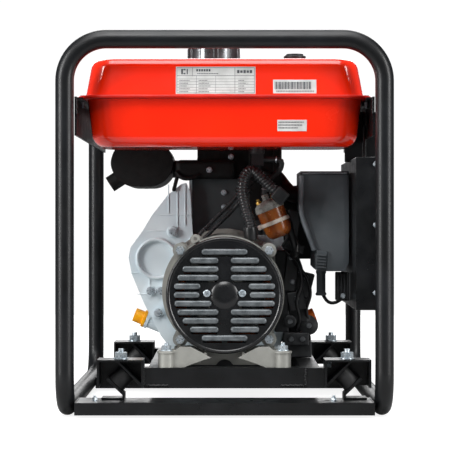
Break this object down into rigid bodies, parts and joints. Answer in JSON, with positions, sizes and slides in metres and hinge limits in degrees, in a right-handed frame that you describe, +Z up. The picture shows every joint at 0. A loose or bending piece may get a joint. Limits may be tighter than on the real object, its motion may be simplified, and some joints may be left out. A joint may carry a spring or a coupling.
{
  "type": "portable generator",
  "caption": "Open-frame portable generating set: tube frame, red fuel tank on top, air-cooled single-cylinder engine with a louvred alternator, side control box.",
  "frame": {"origin": "on the floor under the middle of the tube frame", "axes": "+Z up, +X towards the control box, -Y towards the alternator end"},
  "size_m": [0.488, 0.655, 0.56],
  "materials": {
    "frame_paint": "satin",
    "bracket_paint": "satin",
    "zinc": "bright zinc plate",
    "tank_paint": "gloss",
    "cap_chrome": "polished",
    "black_plastic": "matte",
    "grey_plastic": "satin",
    "cast_grey": "die cast, painted silver",
    "cast_warm": "die cast, bare",
    "cast_dark": "die cast, painted dark grey",
    "steel_dark": "satin black",
    "machined": "machined",
    "piston_alloy": "machined",
    "laminations": "stacked laminations",
    "copper": "enamelled winding wire",
    "rubber": "matte",
    "amber": "translucent amber",
    "heat_paint": "matte heat-proof black",
    "yellow_plastic": "satin",
    "orange_plastic": "satin",
    "socket_blue": "satin",
    "red_plastic": "satin"
  },
  "bodies": {
    "frame_and_engine": {"near_hoop": "frame_paint", "far_hoop": "frame_paint", "bottom_rails": "frame_paint", "base_crossbars": "bracket_paint", "tank_rails": "bracket_paint", "engine_cradle": "bracket_paint", "mount_brackets": "bracket_paint", "rubber_mounts": "rubber", "fasteners": "zinc", "tank_upper_shell": "tank_paint", "tank_lower_shell": "tank_paint", "fuel_gauge": "black_plastic", "fuel_tap": "steel_dark", "fuel_filter_bowl": "amber", "fuel_filter_head": "cast_warm", "fuel_hoses": "rubber", "alternator_end_cover": "steel_dark", "alternator_end_bracket": "cast_warm", "alternator_front_bracket": "cast_warm", "stator_core": "laminations", "stator_windings": "copper", "bearings": "machined", "crankcase": "cast_grey", "crankcase_cover": "cast_grey", "cylinder_barrel": "cast_dark", "cylinder_head": "cast_dark", "rocker_cover": "steel_dark", "injection_pump": "cast_grey", "cooling_shroud": "steel_dark", "fan_housing": "steel_dark", "recoil_cover": "steel_dark", "oil_filler_necks": "cast_grey", "starter_motor": "steel_dark", "muffler": "heat_paint", "air_cleaner_case": "grey_plastic", "air_cleaner_cover": "grey_plastic", "intake_elbow": "rubber", "wiring_conduit": "rubber", "control_box": "steel_dark", "control_panel": "grey_plastic", "ac_sockets": "socket_blue", "panel_instruments": "black_plastic"},
    "crank": {"crankshaft": "machined", "rotor": "machined", "flywheel": "machined"},
    "piston": {"piston": "piston_alloy"},
    "rod": {"connecting_rod": "machined"},
    "fuel_cap": {"fuel_cap": "cap_chrome"},
    "fuel_tap_lever": {"fuel_tap_lever": "black_plastic"},
    "oil_cap_left": {"oil_cap_left": "yellow_plastic"},
    "oil_cap_right": {"oil_cap_right": "orange_plastic"},
    "speed_lever": {"speed_lever": "zinc"},
    "decompression_lever": {"decompression_lever": "zinc"},
    "starter_handle": {"starter_handle": "black_plastic"},
    "recoil_pulley": {"recoil_pulley": "machined"},
    "key_switch": {"key_switch": "zinc"},
    "breaker_toggle": {"breaker_toggle": "black_plastic"},
    "reset_button": {"reset_button": "red_plastic"},
    "socket_lid_near": {"socket_lid_near": "socket_blue"},
    "socket_lid_far": {"socket_lid_far": "socket_blue"}
  },
  "joints": [
    {"name": "crank_spin", "type": "hinge", "parent": "frame_and_engine", "child": "crank", "pos_m": [0, 0, 0.175], "axis": [0, 1, 0], "continuous": true},
    {"name": "piston_stroke", "type": "slide", "parent": "frame_and_engine", "child": "piston", "axis": [0, 0, 1], "range_m": [0, 0.062]},
    {"name": "wrist_pin", "type": "hinge", "parent": "piston", "child": "rod", "pos_m": [0, 0.001, 0.256], "axis": [0, 1, 0], "range_deg": [-16, 16]},
    {"name": "fuel_cap_turn", "type": "hinge", "parent": "frame_and_engine", "child": "fuel_cap", "pos_m": [-0.017, -0.064, 0.53], "axis": [0, 0, 1], "range_deg": [0, 90]},
    {"name": "fuel_tap_turn", "type": "hinge", "parent": "frame_and_engine", "child": "fuel_tap_lever", "pos_m": [0.05, -0.175, 0.378], "axis": [0, 1, 0], "range_deg": [0, 90]},
    {"name": "oil_cap_left_turn", "type": "hinge", "parent": "frame_and_engine", "child": "oil_cap_left", "pos_m": [-0.086, -0.044, 0.113], "axis": [-0.9272, 0, 0.3746], "range_deg": [0, 360]},
    {"name": "oil_cap_right_turn", "type": "hinge", "parent": "frame_and_engine", "child": "oil_cap_right", "pos_m": [0.086, -0.044, 0.113], "axis": [0.9272, 0, 0.3746], "range_deg": [0, 360]},
    {"name": "speed_lever_turn", "type": "hinge", "parent": "frame_and_engine", "child": "speed_lever", "pos_m": [0.098, -0.051, 0.229], "axis": [1, 0, 0], "range_deg": [-20, 25]},
    {"name": "decompression_turn", "type": "hinge", "parent": "frame_and_engine", "child": "decompression_lever", "pos_m": [0, 0.001, 0.403], "axis": [0, -1, 0], "range_deg": [0, 55]},
    {"name": "starter_pull", "type": "slide", "parent": "frame_and_engine", "child": "starter_handle", "axis": [-1, 0, 0], "range_m": [0, 0.14], "stiffness_N_per_m": 60, "springref_m": -0.05},
    {"name": "pulley_turn", "type": "hinge", "parent": "frame_and_engine", "child": "recoil_pulley", "pos_m": [0, 0.186, 0.175], "axis": [0, -1, 0], "range_deg": [0, 160]},
    {"name": "key_turn", "type": "hinge", "parent": "frame_and_engine", "child": "key_switch", "pos_m": [0.229, 0.031, 0.318], "axis": [1, 0, 0], "range_deg": [0, 90]},
    {"name": "breaker_throw", "type": "hinge", "parent": "frame_and_engine", "child": "breaker_toggle", "pos_m": [0.226, -0.042, 0.211], "axis": [0, 1, 0], "range_deg": [-25, 25]},
    {"name": "reset_press", "type": "slide", "parent": "frame_and_engine", "child": "reset_button", "axis": [-1, 0, 0], "range_m": [0, 0.003], "stiffness_N_per_m": 400},
    {"name": "socket_lid_near_turn", "type": "hinge", "parent": "frame_and_engine", "child": "socket_lid_near", "pos_m": [0.238, -0.192, 0.241], "axis": [0, -1, 0], "range_deg": [0, 110], "stiffness_Nm_per_rad": 0.01},
    {"name": "socket_lid_far_turn", "type": "hinge", "parent": "frame_and_engine", "child": "socket_lid_far", "pos_m": [0.238, -0.112, 0.241], "axis": [0, -1, 0], "range_deg": [0, 110], "stiffness_Nm_per_rad": 0.01}
  ],
  "couplings": [
    {"joint": "pulley_turn", "follows": "starter_pull", "rad_per_m": 19.084}
  ]
}
